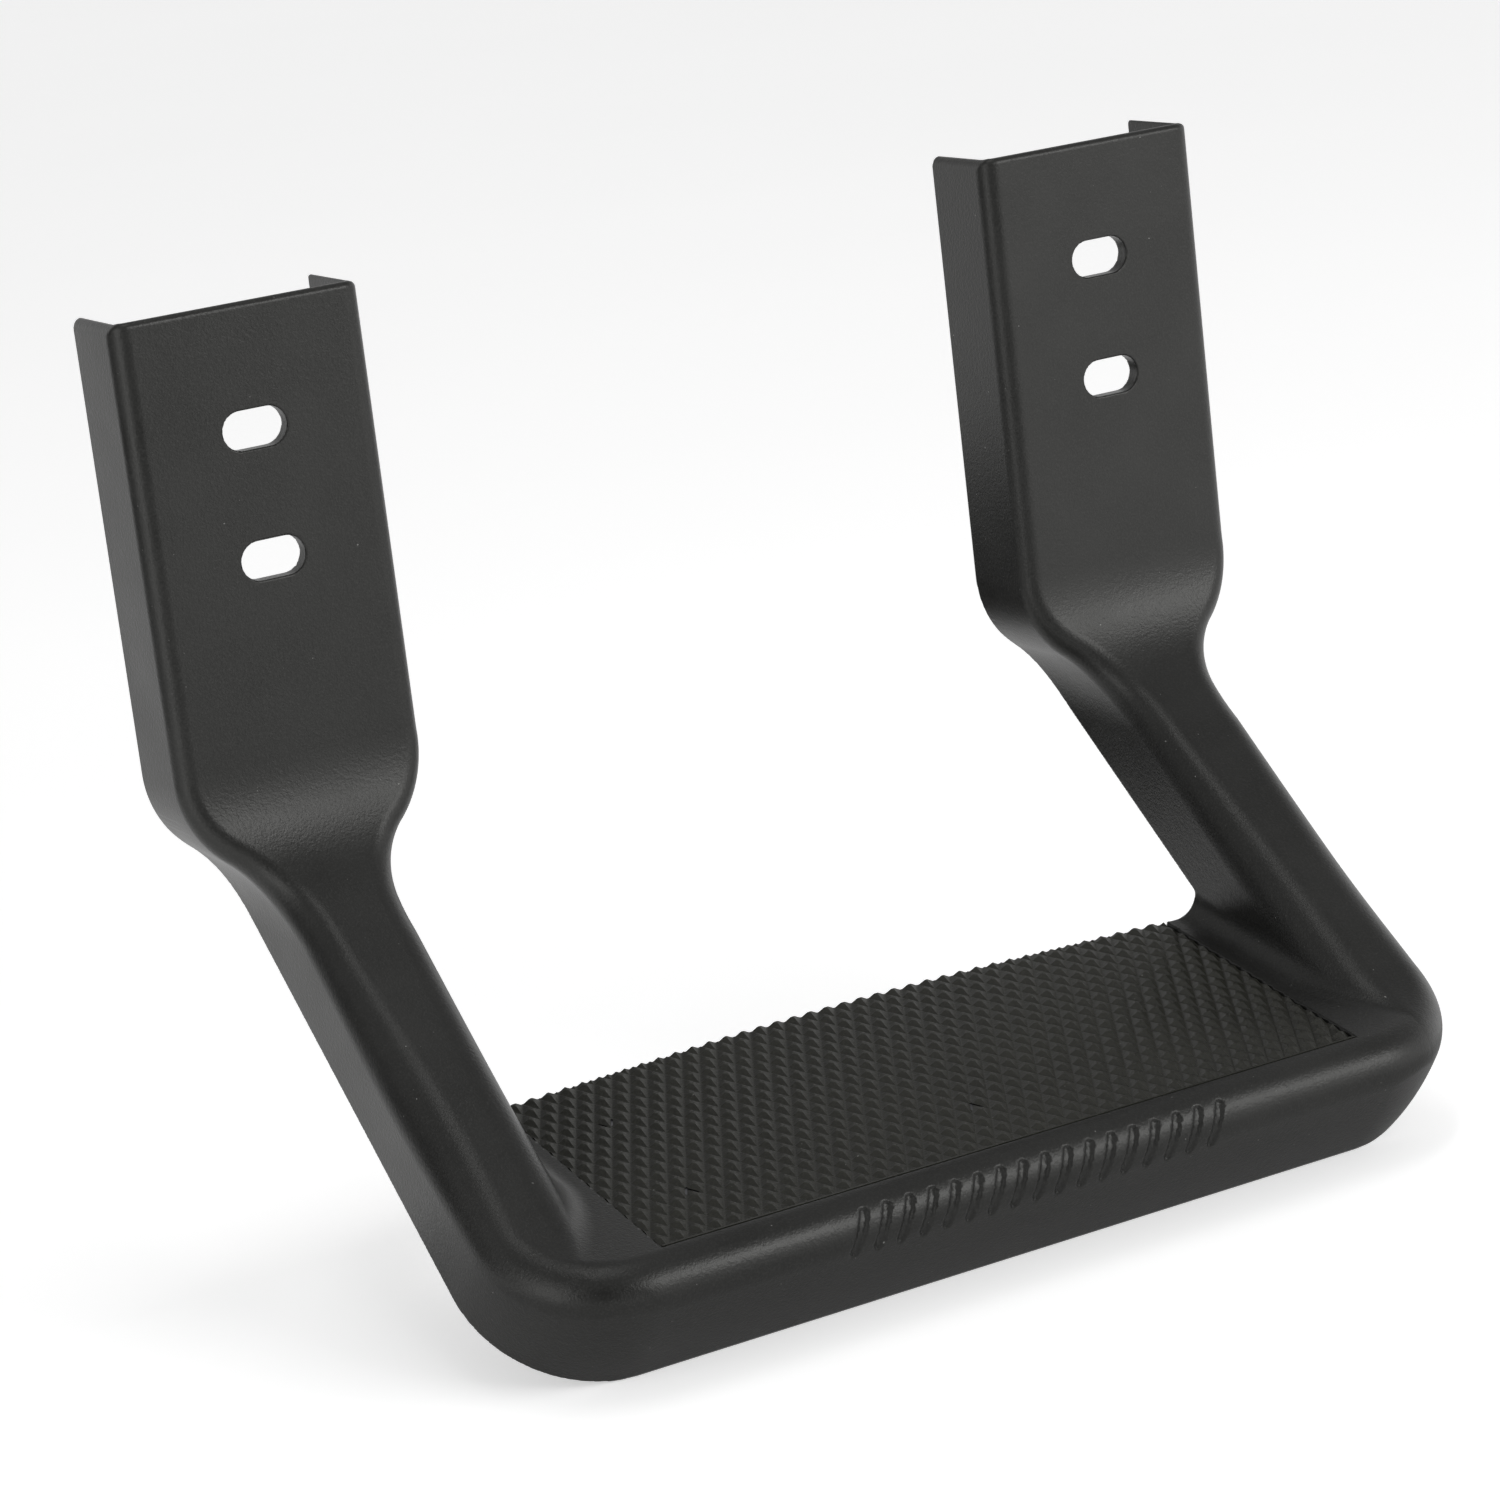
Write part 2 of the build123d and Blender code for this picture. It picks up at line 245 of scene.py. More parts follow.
def shoulder(p, side):
    """One side wall of the channels: side 1 is the outer, -1 the inner. Two tangent arcs narrow it."""
    mirror = np.sign(p[0])
    u = side * (np.abs(p[0]) - SIDE_CENTRE)
    z = p[2]
    drop = SHOULDER_TOP - SHOULDER_BOTTOM
    narrowing = PLATE_HALF - LEG_HALF
    radius = (drop ** 2 + narrowing ** 2) / (4 * narrowing)
    upper = np.stack([u - (PLATE_HALF - radius), z - SHOULDER_TOP])
    lower = np.stack([u - (LEG_HALF + radius), z - SHOULDER_BOTTOM])
    upper_length = np.maximum(np.hypot(*upper), TINY)
    lower_length = np.maximum(np.hypot(*lower), TINY)
    between = np.array([LEG_HALF - PLATE_HALF + 2 * radius, -drop])
    above = upper[0] * between[1] - upper[1] * between[0] < 0
    arc = np.where(above, upper_length - radius, radius - lower_length)
    arc_u, arc_z = np.where(above, upper / upper_length, -lower / lower_length)
    straight = (z > SHOULDER_TOP) | (z < SHOULDER_BOTTOM)
    half = np.where(z > SHOULDER_TOP, PLATE_HALF, LEG_HALF)
    distance = np.where(straight, u - half, arc)
    across = np.where(straight, 1.0, arc_u) * side * mirror
    return field(distance, (across, 0, np.where(straight, 0.0, arc_z)))


def outer_wall(p):
    """Outer side walls, which turn into the rail's front wall below."""
    mirror = np.sign(p[0])
    flank = field(np.abs(p[0]) - half_width, (mirror, 0, 0))
    radius = FACE_CHORD ** 2 / (8 * FACE_BOW) + FACE_BOW / 2
    centre = leg_start + (LEG_LENGTH + FACE_BOW - radius) * leg_down + FACE_CHORD / 2 * leg_out
    offset = (p - centre[:, None]) * [[0], [1], [1]]
    length = np.maximum(np.sqrt((offset * offset).sum(0)), TINY)
    wall_face = plane(p, leg_start + LEG_LENGTH * leg_down, leg_down)
    ahead = leg_down @ offset > 0
    front = np.where(ahead, field(length - radius, offset / length), wall_face)
    return np.where(p[2] > SHOULDER_BOTTOM, shoulder(p, 1), common(flank, front, CORNER))


def front_face(p):
    """Everything behind the front faces of the channels and legs."""
    plate = plane(p, (0, -WALL, 0), (0, -1, 0))
    tapered = math.cos(TAPER) * leg_out - math.sin(TAPER) * leg_down
    upper_face = plane(p, leg_start + LEG_DEPTH * leg_out, tapered)
    return union(plate, upper_face, FRONT_BEND)


def edge_radius(p):
    """Rounding of the front edges, which grows from the channels to the legs."""
    return PLATE_EDGE + (LEG_EDGE - PLATE_EDGE) * smooth(-p[2], *EDGE_GROWTH)


def skin(p, inset, below_deck):
    """Outside of the casting, without its open back, moved inwards by these amounts."""
    deck = plane(p, tread_front - below_deck * deck_up, deck_up)
    ramp = union(grown(front_face(p), -inset), deck, LEG_FOOT)
    rounding = np.maximum(edge_radius(p) - inset, LEAST_EDGE)
    legs = common(ramp, grown(shoulder(p, -1), -inset), rounding)
    top = union(legs, deck, LEG_ROOT)
    nose = smooth(-p[2], *NOSE_START) * (NOSE - LEG_EDGE)
    return common(top, grown(outer_wall(p), -inset), np.maximum(rounding + nose, LEAST_EDGE))


def grooved(p, outer):
    """The outside with the slanted grip grooves pressed into the rail's nose."""
    across = np.array([math.cos(GRIP_SLANT), -math.sin(GRIP_SLANT)])
    along = np.array([math.sin(GRIP_SLANT), math.cos(GRIP_SLANT)])
    height = rail_up @ p - GRIP_HEIGHT
    number = np.round((p[0] - height * math.tan(GRIP_SLANT)) / GRIP_PITCH)
    place = np.stack([p[0] - GRIP_PITCH * np.clip(number, -GRIP_LAST, GRIP_LAST), height])
    past = along @ place
    past = np.sign(past) * np.maximum(np.abs(past) - GRIP_HALF, 0)
    offset = np.outer(across, across @ place) + np.outer(along, past)
    length = np.maximum(np.hypot(*offset), TINY)
    t = np.clip((length - GRIP_FLOOR) / (GRIP_EDGE - GRIP_FLOOR), 0, 1)
    slope = -6 * t * (1 - t) / (GRIP_EDGE - GRIP_FLOOR) * offset / length
    depth = 1 - smooth(length, GRIP_FLOOR, GRIP_EDGE)
    press = field(depth, (slope[0], *(slope[1] * rail_up[1:, None])))
    return outer + GRIP_DEPTH * press


def bow(p):
    """Everything in front of the bowed back edge of the deck."""
    bend = DECK_BOW / TREAD_HALF ** 2
    slope = 2 * bend * p[0]
    length = np.hypot(slope, 1)
    return field((p[1] - DECK_BACK + bend * p[0] ** 2) / length, (slope / length, 1 / length, 0))


def open_back(p):
    """Everything in front of the casting's open back and underside."""
    plate_back = plane(p, (0, CHANNEL_BACK, 0), (0, 1, 0))
    legs = common(plate_back, plane(p, leg_start, -leg_out), BACK_BEND)
    rail_bottom = leg_start + LEG_LENGTH * leg_down
    lip = tread_front + (DECK_BACK - TREAD_FRONT[0]) / deck_back[1] * deck_back - [0, 0, DECK_LIP]
    rim = lip - rail_bottom
    under = plane(p, rail_bottom, (0, rim[2], -rim[1]))
    flank = field(np.abs(p[0]) - leg_gap_half - WALL, (np.sign(p[0]), 0, 0))
    deck = common(common(bow(p), under, RIM), flank, RIM)
    return union(legs, deck, 2 * RIM)


def hollow(p, back):
    """The hollow inside, around the slots' lands, the webs beside the deck, its lip and the ribs."""
    channels = common(skin(p, WALL, PANEL + WALL), outside(slot_lands(p)), RIM)
    web = slab(p, leg_gap_half + WALL / 2, WALL / 2)
    space = overlap(channels, outside(web))
    between = np.abs(p[0]) < leg_gap_half + WALL / 2
    space = np.where(between, common(space, grown(bow(p), -WALL), RIM), space)
    for place in RIB_PLACES:
        rib = common(slab(p, place, RIB_HALF), grown(back, -RIB_SETBACK), RIM)
        space = common(space, outside(rib), RIM)
    return np.where(p[2] > SHOULDER_BOTTOM, channels, space)


def mounting_slots(p):
    """The four slots, as prisms along Y."""
    end = slot_dims["hole_r_mm"]
    straight = slot_dims["slot_length_mm"] / 2 - end
    u = np.abs(p[0]) - SIDE_CENTRE
    v = np.abs(p[2]) - slot_dims["spacing_y_mm"] / 2
    past = np.sign(u) * np.maximum(np.abs(u) - straight, 0)
    length = np.maximum(np.hypot(past, v), TINY)
    return field(length - end, (past / length * np.sign(p[0]), 0, v / length * np.sign(p[2])))


def slot_lands(p):
    """The raised lands behind the slots."""
    behind = plane(p, (0, LAND_HEIGHT, 0), (0, 1, 0))
    return common(grown(mounting_slots(p), LAND_MARGIN), behind, RIM)


def boss_holes(p):
    """The six holes that the tread's bosses pass through."""
    x = p[0] - SCREW_SPACING * np.clip(np.round(p[0] / SCREW_SPACING), -1, 1)
    along = deck_back @ (p - tread_front[:, None])
    v = along - np.where(along < sum(SCREW_ROWS) / 2, *SCREW_ROWS)
    length = np.maximum(np.hypot(x, v), TINY)
    return field(length - BOSS_HOLE, (x / length, *(v / length * deck_back[1:, None])))


def recess(p):
    """The recess of the tread plate, open at the back."""
    flank = field(np.abs(p[0]) - TREAD_HALF, (np.sign(p[0]), 0, 0))
    front = plane(p, tread_front, -deck_back)
    floor = plane(p, tread_front - PANEL * deck_up, -deck_up)
    ceiling = plane(p, tread_front + PANEL * deck_up, deck_up)
    return overlap(common(common(flank, front, RIM), floor, RIM / 3), ceiling)


def casting(p):
    """The whole casting."""
    back = open_back(p)
    top = plane(p, (0, 0, PLATE_TOP), (0, 0, 1))
    flange_corner = plane(p, (0, CHANNEL_BACK, 0), (0, 1, 0))
    limit = common(back, common(top, flange_corner, TOP_CORNER), RIM)
    outer = common(grooved(p, skin(p, 0, 0)), top, TOP_EDGE)
    corners = common(overlap(shoulder(p, 1), shoulder(p, -1)), top, TOP_SIDE)
    on_channels = p[2] > 0
    outer = np.where(on_channels, common(outer, corners, TOP_EDGE), outer)
    solid = common(outer, outside(hollow(p, back)), RIM)
    solid = common(solid, limit, RIM)
    solid = common(solid, outside(mounting_slots(p)), SLOT_RIM)
    solid = common(solid, outside(recess(p)), RIM / 3)
    return common(solid, outside(boss_holes(p)), RIM / 3)


# --- Meshing --------------------------------------------------------------------

# The corners of a grid cell, and its edges as pairs of corners
CORNERS = np.array([(i, j, k) for i in (0, 1) for j in (0, 1) for k in (0, 1)])
EDGES = [(a, b) for a in CORNERS for b in CORNERS if (b - a).min() == 0 and (b - a).sum() == 1]


def sampled(shape, points):
    """The field of a shape at many points, worked out in chunks."""
    parts = [shape(points[:, i:i + CHUNK]) for i in range(0, points.shape[1], CHUNK)]
    return np.concatenate(parts, axis=1)


def sample_blocks(shape, low, counts):
    """Distances on a grid, worked out only in the blocks near the surface."""
    block_counts = -(-counts // BLOCK)
    index = np.indices(block_counts).reshape(3, -1)
    centres = low[:, None] + GRID * BLOCK * (index + 0.5)
    coarse = sampled(shape, centres)[0]
    half_diagonal = BLOCK * 0.5 * math.sqrt(3)
    near = np.abs(coarse) < GRID * (half_diagonal + BLOCK_REACH) * REACH_SLACK
    values = np.repeat(coarse[:, None], BLOCK ** 3, axis=1).astype(np.float32)
    offsets = GRID * np.indices((BLOCK,) * 3).reshape(3, 1, -1)
    corners = low[:, None, None] + GRID * BLOCK * index[:, near, None]
    points = (corners + offsets).reshape(3, -1)
    values[near] = sampled(shape, points)[0].reshape(-1, BLOCK ** 3)
    grid = values.reshape(*block_counts, BLOCK, BLOCK, BLOCK).transpose(0, 3, 1, 4, 2, 5)
    return np.ascontiguousarray(grid).reshape(block_counts * BLOCK)


def crossing_places(grid, index):
    """The mean place, inside each of these cells, where the surface crosses the cell's edges."""
    total = np.zeros((len(index), 3))
    crossings = np.zeros((len(index), 1))
    for a, b in EDGES:
        at_a = grid[tuple((index + a).T)][:, None]
        at_b = grid[tuple((index + b).T)][:, None]
        crossed = (at_a < 0) != (at_b < 0)
        t = at_a / np.where(crossed, at_a - at_b, 1)
        total += np.where(crossed, a + t * (b - a), 0)
        crossings += crossed
    return total / crossings


def surface_net(shape, low, high):
    """Vertices and quads of the surface of a shape, one vertex in each grid cell that it crosses."""
    counts = np.ceil((high - low) / GRID).astype(int) + 1
    grid = sample_blocks(shape, low, counts)
    cells = np.array(grid.shape) - 1
    inside = grid < 0
    filled = sum(inside[i:i + cells[0], j:j + cells[1], k:k + cells[2]].astype(np.int8)
                 for i, j, k in CORNERS)
    index = np.argwhere((filled > 0) & (filled < len(CORNERS)))
    vertices = low + GRID * (index + crossing_places(grid, index))
    numbers = np.full(cells, -1, np.int32)
    numbers[tuple(index.T)] = np.arange(len(index))
    return vertices, np.concatenate([quads_across(inside, numbers, axis) for axis in range(3)])


def quads_across(inside, numbers, axis):
    """The quads around the grid edges along one axis that the surface crosses."""
    order = (axis, (axis + 1) % 3, (axis + 2) % 3)
    turned = inside.transpose(order)
    ids = numbers.transpose(order)
    leaving = turned[:-1, 1:-1, 1:-1] & ~turned[1:, 1:-1, 1:-1]
    entering = ~turned[:-1, 1:-1, 1:-1] & turned[1:, 1:-1, 1:-1]
    quads = []
    for crossed, turn in ((leaving, 1), (entering, -1)):
        i, j, k = np.nonzero(crossed)
        ring = [ids[i, j, k], ids[i, j + 1, k], ids[i, j + 1, k + 1], ids[i, j, k + 1]]
        quads.append(np.stack(ring[::turn], axis=1))
    return np.concatenate(quads)


def settled(shape, vertices):
    """Vertices moved onto the surface, and the surface's normals there."""
    points = vertices.T.copy()
    for _ in range(SETTLING_STEPS):
        at = sampled(shape, points)
        steepness = np.maximum((at[1:] * at[1:]).sum(0), LEAST_STEEPNESS)
        points -= np.clip(at[0], -GRID / 2, GRID / 2) / steepness * at[1:]
    return points.T, sampled(shape, points)[1:].T


def linked(name, data):
    """A new object in the scene."""
    made = bpy.data.objects.new(name, data)
    bpy.context.scene.collection.objects.link(made)
    return made


def mesh_object(name, vertices, faces):
    """A mesh object from vertices in millimetres."""
    mesh = bpy.data.meshes.new(name)
    mesh.vertices.add(len(vertices))
    mesh.vertices.foreach_set("co", (np.asarray(vertices) * MM).astype(np.float32).ravel())
    mesh.loops.add(faces.size)
    mesh.loops.foreach_set("vertex_index", faces.astype(np.int32).ravel())
    mesh.polygons.add(len(faces))
    mesh.polygons.foreach_set("loop_start", np.arange(len(faces), dtype=np.int32) * faces.shape[1])
    mesh.update(calc_edges=True)
    mesh.validate()
    return linked(name, mesh)


def apply_modifier(piece, kind, **settings):
    """Add a modifier and apply it at once."""
    modifier = piece.modifiers.new(kind.lower(), kind)
    for key, value in settings.items():
        setattr(modifier, key, value)
    bpy.context.view_layer.objects.active = piece
    bpy.ops.object.modifier_apply(modifier=modifier.name)


def make_casting():
    """The casting as one closed mesh."""
    margin = MARGIN_CELLS * GRID
    vertices, quads = surface_net(casting, frame_low - margin, frame_high + margin)
    vertices, _ = settled(casting, vertices)
    piece = mesh_object("step_casting", vertices, quads)
    triangles = 2 * len(quads)
    if triangles > MOST_FACES:
        apply_modifier(piece, "DECIMATE", ratio=MOST_FACES / triangles)
    places = np.zeros(3 * len(piece.data.vertices), np.float32)
    piece.data.vertices.foreach_get("co", places)
    places, normals = settled(casting, places.reshape(-1, 3) / MM)
    piece.data.vertices.foreach_set("co", (places * MM).astype(np.float32).ravel())
    piece.data.polygons.foreach_set("use_smooth", [True] * len(piece.data.polygons))
    normals /= np.linalg.norm(normals, axis=1, keepdims=True)
    piece.data.normals_split_custom_set_from_vertices(normals)
    return piece


# --- The tread --------------------------------------------------------------------

def on_deck(x, along, up):
    """A point in millimetres from its place on the deck."""
    return tread_front + np.array([x, 0, 0]) + along * deck_back + up * deck_up


def diamond(bm, x, along):
    """One raised diamond of the knurl: a pyramid with eased edges and a blunt top."""
    loops = []
    for size, rise in KNURL_RINGS:
        half_x = size * KNURL_PITCH / 2
        half_along = size * KNURL_LENGTH / 2
        up = rise * KNURL_HEIGHT - KNURL_HEIGHT
        around = ((half_x, 0), (0, half_along), (-half_x, 0), (0, -half_along))
        loops.append([bm.verts.new(on_deck(x + dx, along + dy, up)) for dx, dy in around])
    for lower, upper in zip(loops, loops[1:]):
        for i in range(4):
            bm.faces.new((lower[i], lower[(i + 1) % 4], upper[(i + 1) % 4], upper[i]))
    bm.faces.new(loops[-1])


def knurl():
    """The knurl as an open sheet, larger than the tread."""
    bm = bmesh.new()
    columns = math.ceil(TREAD_HALF / KNURL_PITCH) + 1
    rows = math.ceil(BLOCK_LENGTH / KNURL_LENGTH)
    for j in range(-2, 2 * rows):
        for i in range(-columns, columns + 1):
            shift = 0.5 * (j % 2)
            diamond(bm, (i + shift) * KNURL_PITCH, j * KNURL_LENGTH / 2)
    bmesh.ops.remove_doubles(bm, verts=bm.verts, dist=0.01)
    return bm


def tread_outline(margin):
    """Corners (x, along) of the tread, counter-clockwise from above, with its bowed back edge."""
    half = TREAD_HALF - margin
    back = [(x, (DECK_BACK - DECK_BOW * (x / TREAD_HALF) ** 2 - TREAD_FRONT[0]) / deck_back[1])
            for x in np.linspace(half, -half, BACK_POINTS)]
    return [(-half, margin), (half, margin)] + back


def knurled_block():
    """A closed block, larger than the tread, with the knurl as its upper face."""
    bm = knurl()
    rim = [e for e in bm.edges if e.is_boundary]
    grown_rim = bmesh.ops.extrude_edge_only(bm, edges=rim)
    lowered = [v for v in grown_rim["geom"] if isinstance(v, bmesh.types.BMVert)]
    for v in lowered:
        offset = deck_up @ (np.array(v.co) - tread_front)
        v.co = Vector(np.array(v.co) - (offset + 2 * PANEL) * deck_up)
    bmesh.ops.contextual_create(bm, geom=[e for e in bm.edges if e.is_boundary])
    bmesh.ops.recalc_face_normals(bm, faces=bm.faces)
    mesh = bpy.data.meshes.new("tread")
    bm.to_mesh(mesh)
    bm.free()
    mesh.transform(Matrix.Scale(MM, 4))
    return linked("tread", mesh)


def make_tread():
    """The knurled tread plate with its bosses."""
    piece = knurled_block()
    cutter = prism("cutter", tread_outline(TREAD_GAP), -PANEL, 2 * PANEL)
    boolean(piece, cutter, "INTERSECT")
    half = TREAD_HALF - TREAD_GAP
    border = [(-half, TREAD_GAP), (half, TREAD_GAP), (half, BORDER), (-half, BORDER)]
    boolean(piece, prism("border", border, -PANEL, 0), "UNION")
    underside = -PANEL - BOSS_LENGTH
    for x, along in screw_places():
        boss = prism("boss", circle(x, along, BOSS_RADIUS), underside, BOSS_ROOT - PANEL)
        boolean(piece, boss, "UNION")
    for x, along in screw_places():
        around = circle(x, along, THREAD_RADIUS)
        thread = prism("thread", around, underside - PANEL, underside + THREAD_DEPTH)
        boolean(piece, thread, "DIFFERENCE")
    return piece


def screw_places():
    """Places (x, along) of the six screws on the deck."""
    return [(column * SCREW_SPACING, row) for column in (-1, 0, 1) for row in SCREW_ROWS]


def circle(x, along, radius):
    """Corners of a circle on the deck."""
    turns = np.linspace(0, 2 * math.pi, CIRCLE_POINTS, endpoint=False)
    return [(x + radius * math.cos(turn), along + radius * math.sin(turn)) for turn in turns]


def prism(name, outline, low, high):
    """A prism over an outline in the deck plane."""
    bm = bmesh.new()
    loops = [[bm.verts.new(Vector(on_deck(x, along, up) * MM)) for x, along in outline]
             for up in (low, high)]
    count = len(outline)
    for i in range(count):
        after = (i + 1) % count
        bm.faces.new((loops[0][i], loops[0][after], loops[1][after], loops[1][i]))
    bm.faces.new(loops[0][::-1])
    bm.faces.new(loops[1])
    mesh = bpy.data.meshes.new(name)
    bm.to_mesh(mesh)
    bm.free()
    return linked(name, mesh)


def boolean(piece, other, operation):
    """Combine two pieces and remove the second."""
    apply_modifier(piece, "BOOLEAN", object=other, operation=operation, solver="EXACT")
    bpy.data.objects.remove(other)


# --- Materials ----------------------------------------------------------------------

class Shader:
    """A node material that is built one node at a time."""

    def __init__(self, name):
        self.material = bpy.data.materials.new(name)
        self.material.use_nodes = True
        self.nodes = self.material.node_tree.nodes
        self.links = self.material.node_tree.links
        self.surface = self.nodes["Principled BSDF"]

    def node(self, kind, inputs=None, **settings):
        """A new node. An input is a value, or an output to link."""
        made = self.nodes.new(kind)
        for key, value in settings.items():
            setattr(made, key, value)
        for key, value in (inputs or {}).items():
            self.put(made.inputs[key], value)
        return made

    def put(self, socket, value):
        """Set a socket, or link an output to it."""
        if isinstance(value, bpy.types.NodeSocket):
            self.links.new(value, socket)
        else:
            socket.default_value = value

    def noise(self, scale, detail=4.0, roughness=0.6):
        """Noise that is fixed to the piece."""
        place = self.node("ShaderNodeTexCoord").outputs["Object"]
        made = self.node("ShaderNodeTexNoise", {"Vector": place, "Scale": scale, "Detail": detail,
                                                "Roughness": roughness})
        return made.outputs["Fac"]

    def ramp(self, value, low, high, to_low, to_high):
        """A value mapped from one range to another."""
        made = self.node("ShaderNodeMapRange", {"Value": value, "From Min": low, "From Max": high,
                                                "To Min": to_low, "To Max": to_high})
        return made.outputs["Result"]

    def mix(self, factor, first, second):
        """A mix of two colours."""
        made = self.node("ShaderNodeMix", data_type="RGBA")
        self.put(made.inputs["Factor"], factor)
        self.put(made.inputs["A"], first)
        self.put(made.inputs["B"], second)
        colours = [o for o in made.outputs if o.type == "RGBA"]
        return colours[0]

    def bump(self, height, strength, distance, below=None):
        """A bump from a height, over another one."""
        inputs = {"Height": height, "Strength": strength, "Distance": distance}
        if below is not None:
            inputs["Normal"] = below
        return self.node("ShaderNodeBump", inputs).outputs["Normal"]


# Scales of the noise, per metre, and depths of the bump, in metres
CLOUD_SCALE = 28.0
FINE_SCALE = 1500.0
FINE_DEPTH = 0.00015
PEEL_SCALE = 800.0
PEEL_DEPTH = 0.0002
SPECK_SCALE = 900.0
STAIN_SCALE = 350.0
SCRATCH_SCALE = 2500.0
SCRATCH_DEPTH = 0.0001

GRAIN_GAIN = 1.7                    # the grain's bright side against the coat's light colour
STAIN_SHADE = 0.75                  # a stain against the steel's colour
DUST = (0.3, 0.3, 0.29, 1)
COAT_SPECULAR = 0.34
COAT_TINT = (1.0, 1.0, 0.975, 1)


def powder_coat(name, dark, light, roughness, grain):
    """Black powder coat: fine grain, slow cloudy changes of colour and gloss, a few dust specks."""
    shader = Shader(name)
    cloud = shader.noise(CLOUD_SCALE, detail=3.0)
    fine = shader.noise(FINE_SCALE, detail=2.0)
    peel = shader.noise(PEEL_SCALE, detail=3.0)
    speck = shader.noise(SPECK_SCALE, detail=1.0, roughness=0.4)
    colour = shader.mix(shader.ramp(cloud, 0.3, 0.7, 0.0, 1.0), dark, light)
    bright = tuple(GRAIN_GAIN * c for c in light[:3]) + (1,)
    grained = shader.mix(shader.ramp(fine, 0.45, 0.75, 0.0, 0.6), colour, bright)
    dust = shader.ramp(speck, 0.80, 0.84, 0.0, 0.5)
    shader.put(shader.surface.inputs["Base Color"], shader.mix(dust, grained, DUST))
    gloss = shader.ramp(cloud, 0.25, 0.75, roughness - 0.03, roughness + 0.05)
    shader.put(shader.surface.inputs["Roughness"], gloss)
    below = shader.bump(fine, grain, FINE_DEPTH)
    shader.put(shader.surface.inputs["Normal"], shader.bump(peel, grain, PEEL_DEPTH, below))
    shader.surface.inputs["Specular IOR Level"].default_value = COAT_SPECULAR
    shader.surface.inputs["Specular Tint"].default_value = COAT_TINT
    return shader.material


def steel(name, colour, roughness):
    """Plain steel with fine scratches and stains."""
    shader = Shader(name)
    stain = shader.noise(STAIN_SCALE, detail=5.0)
    tone = shader.mix(stain, tuple(STAIN_SHADE * c for c in colour) + (1,), colour + (1,))
    shader.put(shader.surface.inputs["Base Color"], tone)
    gloss = shader.ramp(stain, 0.3, 0.7, roughness - 0.08, roughness + 0.1)
    shader.put(shader.surface.inputs["Roughness"], gloss)
    scratches = shader.noise(SCRATCH_SCALE, detail=2.0)
    shader.put(shader.surface.inputs["Normal"], shader.bump(scratches, 0.2, SCRATCH_DEPTH))
    shader.surface.inputs["Metallic"].default_value = 1.0
    return shader.material


def paint(piece, material):
    """Give a piece one material."""
    piece.data.materials.clear()
    piece.data.materials.append(material)


# --- Camera, light and floor ------------------------------------------------------------

VIEW_AZIMUTH = math.radians(26.47)
VIEW_ELEVATION = math.radians(13.99)
VIEW_ROLL = math.radians(7.05)
CAMERA_PLACE = Vector((-0.6124, -1.1879, 0.2272))
LENS = 107.45
SHIFT = (0.0467, -0.0034)
CLIP_END = 50
FLOOR_HALF = 12
FLOOR_TONES = ((0.86, 0.86, 0.86, 1), (0.9, 0.9, 0.9, 1))
FLOOR_ROUGHNESS = 0.8
FLOOR_GLOW = 0.42
FLAG_HEIGHT = 0.55
FLAG_SHADE = 0.01
SKY = ((0.12, 1.15), (0.60, 0.38))     # brightness of the surroundings against the sine of the elevation


def view_rotation():
    """Rotation of the camera, tilted about its own axis as the object leans in the view."""
    level = math.cos(VIEW_ELEVATION)
    right = math.sin(VIEW_AZIMUTH) * level
    away = math.cos(VIEW_AZIMUTH) * level
    ahead = Vector((right, away, -math.sin(VIEW_ELEVATION)))
    return ahead.to_track_quat("-Z", "Y") @ Quaternion((0, 0, 1), -VIEW_ROLL)


def make_camera():
    """The camera at the viewing angle of the object."""
    data = bpy.data.cameras.new("camera")
    data.lens = LENS
    data.shift_x, data.shift_y = SHIFT
    data.clip_end = CLIP_END
    camera = linked("camera", data)
    camera.location = CAMERA_PLACE
    camera.rotation_mode = "QUATERNION"
    camera.rotation_quaternion = view_rotation()
    bpy.context.scene.camera = camera


def softbox(name, place, target, size, power):
    """An area light that faces a target."""
    data = bpy.data.lights.new(name, "AREA")
    data.shape = "RECTANGLE"
    data.size, data.size_y = size
    data.energy = power
    light = linked(name, data)
    light.visible_camera = False
    light.location = place
    light.rotation_mode = "QUATERNION"
    light.rotation_quaternion = (Vector(target) - Vector(place)).to_track_quat("-Z", "Y")


def flat_square(name, half):
    """A flat square around the origin."""
    bm = bmesh.new()
    bmesh.ops.create_grid(bm, x_segments=1, y_segments=1, size=half)
    mesh = bpy.data.meshes.new(name)
    bm.to_mesh(mesh)
    bm.free()
    return linked(name, mesh)


def card(name, place, turn, size, shade):
    """A plain card near the object, seen only in its gloss: its colour is a painted reflection, and it
    casts no shadow.
    """
    made = flat_square(name, 0.5)
    made.location = place
    made.rotation_euler = turn
    made.scale = (*size, 1)
    made.visible_camera = False
    made.visible_diffuse = False
    made.visible_shadow = False
    shader = Shader(name)
    shader.surface.inputs["Base Color"].default_value = (shade, shade, shade, 1)
    shader.surface.inputs["Specular IOR Level"].default_value = 0.0
    paint(made, shader.material)


def flag(name, azimuth, distance, width):
    """A dark card that stands on the floor, seen only in gloss as a painted dark reflection. The azimuth
    is from the front, to the left.
    """
    turn = math.radians(azimuth)
    place = (-distance * math.sin(turn), -distance * math.cos(turn), cad_box[0][2] + FLAG_HEIGHT / 2)
    card(name, place, (math.pi / 2, 0, -turn), (width, FLAG_HEIGHT), FLAG_SHADE)


